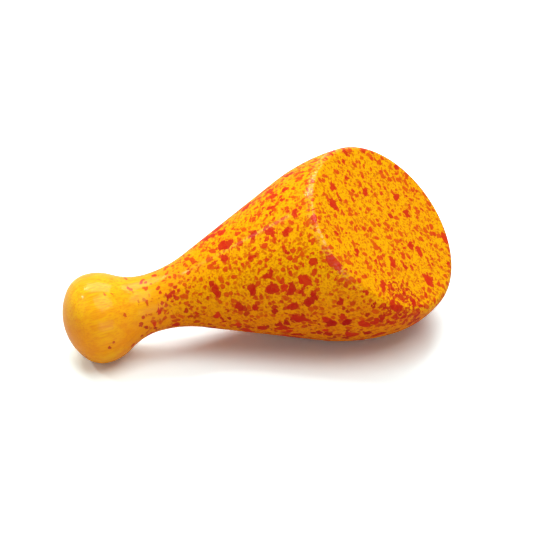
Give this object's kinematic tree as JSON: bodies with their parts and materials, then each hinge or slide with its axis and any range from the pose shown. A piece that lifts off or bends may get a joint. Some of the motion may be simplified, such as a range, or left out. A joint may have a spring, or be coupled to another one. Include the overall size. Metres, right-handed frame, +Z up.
{
  "type": "wooden hand shaker",
  "caption": "Hand shaker of turned wood in a chicken drumstick's shape: knob, slim neck, round wide end with a slanted flat cut, and loose steel shot inside.",
  "frame": {"origin": "middle of the bounding box on the plane that the shaker lies on", "axes": "+X towards the wide end, with the turning axis in the XZ plane; +Z up; the slanted cut faces +X, up and -Y"},
  "size_m": [0.1366, 0.0657, 0.0628],
  "materials": {
    "painted_wood": "gloss lacquer over spattered paint",
    "steel_shot": "polished"
  },
  "bodies": {
    "shell": {"turned_body": "painted_wood", "face_disc": "painted_wood"},
    "shot_01": {"shot_01": "steel_shot"},
    "shot_02": {"shot_02": "steel_shot"},
    "shot_03": {"shot_03": "steel_shot"},
    "shot_04": {"shot_04": "steel_shot"},
    "shot_05": {"shot_05": "steel_shot"},
    "shot_06": {"shot_06": "steel_shot"},
    "shot_07": {"shot_07": "steel_shot"},
    "shot_08": {"shot_08": "steel_shot"},
    "shot_09": {"shot_09": "steel_shot"},
    "shot_10": {"shot_10": "steel_shot"},
    "shot_11": {"shot_11": "steel_shot"},
    "shot_12": {"shot_12": "steel_shot"},
    "shot_13": {"shot_13": "steel_shot"},
    "shot_14": {"shot_14": "steel_shot"},
    "shot_15": {"shot_15": "steel_shot"},
    "shot_16": {"shot_16": "steel_shot"},
    "shot_17": {"shot_17": "steel_shot"},
    "shot_18": {"shot_18": "steel_shot"},
    "shot_19": {"shot_19": "steel_shot"},
    "shot_20": {"shot_20": "steel_shot"},
    "shot_21": {"shot_21": "steel_shot"},
    "shot_22": {"shot_22": "steel_shot"},
    "shot_23": {"shot_23": "steel_shot"},
    "shot_24": {"shot_24": "steel_shot"},
    "shot_25": {"shot_25": "steel_shot"},
    "shot_26": {"shot_26": "steel_shot"},
    "shot_27": {"shot_27": "steel_shot"},
    "shot_28": {"shot_28": "steel_shot"},
    "shot_29": {"shot_29": "steel_shot"},
    "shot_30": {"shot_30": "steel_shot"},
    "shot_31": {"shot_31": "steel_shot"},
    "shot_32": {"shot_32": "steel_shot"},
    "shot_33": {"shot_33": "steel_shot"},
    "shot_34": {"shot_34": "steel_shot"},
    "shot_35": {"shot_35": "steel_shot"},
    "shot_36": {"shot_36": "steel_shot"},
    "shot_37": {"shot_37": "steel_shot"},
    "shot_38": {"shot_38": "steel_shot"},
    "shot_39": {"shot_39": "steel_shot"},
    "shot_40": {"shot_40": "steel_shot"}
  },
  "joints": [
    {"name": "shot_01_slide", "type": "slide", "parent": "shell", "child": "shot_01", "axis": [0.5702, -0.4074, 0.7134], "range_m": [0, 0.0065]},
    {"name": "shot_02_slide", "type": "slide", "parent": "shell", "child": "shot_02", "axis": [0.5702, -0.4074, 0.7134], "range_m": [0, 0.0113]},
    {"name": "shot_03_slide", "type": "slide", "parent": "shell", "child": "shot_03", "axis": [0.5702, -0.4074, 0.7134], "range_m": [0, 0.0113]},
    {"name": "shot_04_slide", "type": "slide", "parent": "shell", "child": "shot_04", "axis": [0.5702, -0.4074, 0.7134], "range_m": [0, 0.0113]},
    {"name": "shot_05_slide", "type": "slide", "parent": "shell", "child": "shot_05", "axis": [0.5702, -0.4074, 0.7134], "range_m": [0, 0.0113]},
    {"name": "shot_06_slide", "type": "slide", "parent": "shell", "child": "shot_06", "axis": [0.5702, -0.4074, 0.7134], "range_m": [0, 0.0113]},
    {"name": "shot_07_slide", "type": "slide", "parent": "shell", "child": "shot_07", "axis": [0.5702, -0.4074, 0.7134], "range_m": [0, 0.0065]},
    {"name": "shot_08_slide", "type": "slide", "parent": "shell", "child": "shot_08", "axis": [0.5702, -0.4074, 0.7134], "range_m": [0, 0.0161]},
    {"name": "shot_09_slide", "type": "slide", "parent": "shell", "child": "shot_09", "axis": [0.5702, -0.4074, 0.7134], "range_m": [0, 0.0113]},
    {"name": "shot_10_slide", "type": "slide", "parent": "shell", "child": "shot_10", "axis": [0.5702, -0.4074, 0.7134], "range_m": [0, 0.0161]},
    {"name": "shot_11_slide", "type": "slide", "parent": "shell", "child": "shot_11", "axis": [0.5702, -0.4074, 0.7134], "range_m": [0, 0.0113]},
    {"name": "shot_12_slide", "type": "slide", "parent": "shell", "child": "shot_12", "axis": [0.5702, -0.4074, 0.7134], "range_m": [0, 0.0161]},
    {"name": "shot_13_slide", "type": "slide", "parent": "shell", "child": "shot_13", "axis": [0.5702, -0.4074, 0.7134], "range_m": [0, 0.0113]},
    {"name": "shot_14_slide", "type": "slide", "parent": "shell", "child": "shot_14", "axis": [0.5702, -0.4074, 0.7134], "range_m": [0, 0.0161]},
    {"name": "shot_15_slide", "type": "slide", "parent": "shell", "child": "shot_15", "axis": [0.5702, -0.4074, 0.7134], "range_m": [0, 0.0161]},
    {"name": "shot_16_slide", "type": "slide", "parent": "shell", "child": "shot_16", "axis": [0.5702, -0.4074, 0.7134], "range_m": [0, 0.0113]},
    {"name": "shot_17_slide", "type": "slide", "parent": "shell", "child": "shot_17", "axis": [0.5702, -0.4074, 0.7134], "range_m": [0, 0.0161]},
    {"name": "shot_18_slide", "type": "slide", "parent": "shell", "child": "shot_18", "axis": [0.5702, -0.4074, 0.7134], "range_m": [0, 0.0113]},
    {"name": "shot_19_slide", "type": "slide", "parent": "shell", "child": "shot_19", "axis": [0.5702, -0.4074, 0.7134], "range_m": [0, 0.0065]},
    {"name": "shot_20_slide", "type": "slide", "parent": "shell", "child": "shot_20", "axis": [0.5702, -0.4074, 0.7134], "range_m": [0, 0.0161]},
    {"name": "shot_21_slide", "type": "slide", "parent": "shell", "child": "shot_21", "axis": [0.5702, -0.4074, 0.7134], "range_m": [0, 0.0161]},
    {"name": "shot_22_slide", "type": "slide", "parent": "shell", "child": "shot_22", "axis": [0.5702, -0.4074, 0.7134], "range_m": [0, 0.0113]},
    {"name": "shot_23_slide", "type": "slide", "parent": "shell", "child": "shot_23", "axis": [0.5702, -0.4074, 0.7134], "range_m": [0, 0.0209]},
    {"name": "shot_24_slide", "type": "slide", "parent": "shell", "child": "shot_24", "axis": [0.5702, -0.4074, 0.7134], "range_m": [0, 0.0161]},
    {"name": "shot_25_slide", "type": "slide", "parent": "shell", "child": "shot_25", "axis": [0.5702, -0.4074, 0.7134], "range_m": [0, 0.0113]},
    {"name": "shot_26_slide", "type": "slide", "parent": "shell", "child": "shot_26", "axis": [0.5702, -0.4074, 0.7134], "range_m": [0, 0.0209]},
    {"name": "shot_27_slide", "type": "slide", "parent": "shell", "child": "shot_27", "axis": [0.5702, -0.4074, 0.7134], "range_m": [0, 0.0209]},
    {"name": "shot_28_slide", "type": "slide", "parent": "shell", "child": "shot_28", "axis": [0.5702, -0.4074, 0.7134], "range_m": [0, 0.0161]},
    {"name": "shot_29_slide", "type": "slide", "parent": "shell", "child": "shot_29", "axis": [0.5702, -0.4074, 0.7134], "range_m": [0, 0.0113]},
    {"name": "shot_30_slide", "type": "slide", "parent": "shell", "child": "shot_30", "axis": [0.5702, -0.4074, 0.7134], "range_m": [0, 0.0209]},
    {"name": "shot_31_slide", "type": "slide", "parent": "shell", "child": "shot_31", "axis": [0.5702, -0.4074, 0.7134], "range_m": [0, 0.0161]},
    {"name": "shot_32_slide", "type": "slide", "parent": "shell", "child": "shot_32", "axis": [0.5702, -0.4074, 0.7134], "range_m": [0, 0.0209]},
    {"name": "shot_33_slide", "type": "slide", "parent": "shell", "child": "shot_33", "axis": [0.5702, -0.4074, 0.7134], "range_m": [0, 0.0161]},
    {"name": "shot_34_slide", "type": "slide", "parent": "shell", "child": "shot_34", "axis": [0.5702, -0.4074, 0.7134], "range_m": [0, 0.0113]},
    {"name": "shot_35_slide", "type": "slide", "parent": "shell", "child": "shot_35", "axis": [0.5702, -0.4074, 0.7134], "range_m": [0, 0.0209]},
    {"name": "shot_36_slide", "type": "slide", "parent": "shell", "child": "shot_36", "axis": [0.5702, -0.4074, 0.7134], "range_m": [0, 0.0161]},
    {"name": "shot_37_slide", "type": "slide", "parent": "shell", "child": "shot_37", "axis": [0.5702, -0.4074, 0.7134], "range_m": [0, 0.0113]},
    {"name": "shot_38_slide", "type": "slide", "parent": "shell", "child": "shot_38", "axis": [0.5702, -0.4074, 0.7134], "range_m": [0, 0.0065]},
    {"name": "shot_39_slide", "type": "slide", "parent": "shell", "child": "shot_39", "axis": [0.5702, -0.4074, 0.7134], "range_m": [0, 0.0209]},
    {"name": "shot_40_slide", "type": "slide", "parent": "shell", "child": "shot_40", "axis": [0.5702, -0.4074, 0.7134], "range_m": [0, 0.0161]}
  ],
  "couplings": [
    {"joint": "shot_01_slide", "follows": "shot_38_slide", "ratio": 1},
    {"joint": "shot_02_slide", "follows": "shot_22_slide", "ratio": 1},
    {"joint": "shot_03_slide", "follows": "shot_25_slide", "ratio": 1},
    {"joint": "shot_04_slide", "follows": "shot_29_slide", "ratio": 1},
    {"joint": "shot_05_slide", "follows": "shot_34_slide", "ratio": 1},
    {"joint": "shot_06_slide", "follows": "shot_37_slide", "ratio": 1},
    {"joint": "shot_07_slide", "follows": "shot_38_slide", "ratio": 1},
    {"joint": "shot_08_slide", "follows": "shot_21_slide", "ratio": 1},
    {"joint": "shot_09_slide", "follows": "shot_22_slide", "ratio": 1},
    {"joint": "shot_10_slide", "follows": "shot_24_slide", "ratio": 1},
    {"joint": "shot_11_slide", "follows": "shot_25_slide", "ratio": 1},
    {"joint": "shot_12_slide", "follows": "shot_28_slide", "ratio": 1},
    {"joint": "shot_13_slide", "follows": "shot_29_slide", "ratio": 1},
    {"joint": "shot_14_slide", "follows": "shot_31_slide", "ratio": 1},
    {"joint": "shot_15_slide", "follows": "shot_33_slide", "ratio": 1},
    {"joint": "shot_16_slide", "follows": "shot_34_slide", "ratio": 1},
    {"joint": "shot_17_slide", "follows": "shot_36_slide", "ratio": 1},
    {"joint": "shot_18_slide", "follows": "shot_37_slide", "ratio": 1},
    {"joint": "shot_19_slide", "follows": "shot_38_slide", "ratio": 1},
    {"joint": "shot_20_slide", "follows": "shot_40_slide", "ratio": 1}
  ]
}
